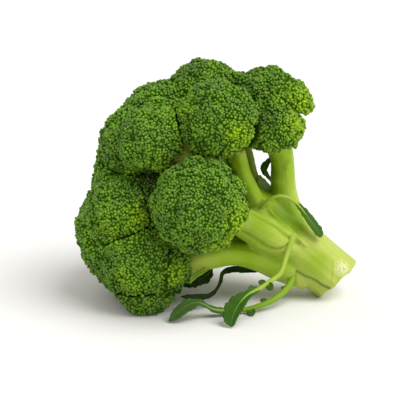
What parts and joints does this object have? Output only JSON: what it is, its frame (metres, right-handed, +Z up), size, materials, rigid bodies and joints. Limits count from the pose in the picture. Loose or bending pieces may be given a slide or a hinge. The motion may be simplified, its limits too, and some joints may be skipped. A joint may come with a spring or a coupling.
{
  "type": "broccoli head",
  "caption": "Whole head of broccoli lying on its side: a thick cut stalk forks into limbs that carry domed floret heads covered in buds, with narrow leaves at the fork.",
  "frame": {"origin": "on the table, under the middle of the head's bounding box", "axes": "+Z up, +X towards the cut end of the stalk, -Y towards the side where the largest floret head and the leaves are"},
  "size_m": [0.1699, 0.1456, 0.1421],
  "materials": {
    "stalk": "satin",
    "floret": "matte",
    "leaf": "satin",
    "bract": "satin"
  },
  "bodies": {
    "root": {"stalk": "stalk", "floret_front": "floret", "floret_upper_front": "floret", "floret_right": "floret", "floret_right_crown": "floret", "floret_right_tip": "floret", "floret_crest": "floret", "floret_crest_left": "floret", "floret_mid_left": "floret", "floret_brow": "floret", "floret_temple": "floret", "floret_cheek": "floret", "floret_inner_front": "floret", "floret_low_left": "floret", "floret_low_front": "floret", "floret_foot_front": "floret", "floret_chin": "floret", "floret_back": "floret", "floret_back_upper": "floret", "floret_back_left": "floret", "floret_back_cheek": "floret", "floret_low_back": "floret", "floret_foot_back": "floret", "floret_keel": "floret", "leaf_front": "leaf", "leaf_floor": "leaf", "leaf_under": "leaf", "leaf_shade": "leaf", "leaf_saddle": "leaf", "leaf_inner": "leaf", "leaf_fold": "leaf", "leaf_bract": "bract"}
  },
  "joints": []
}
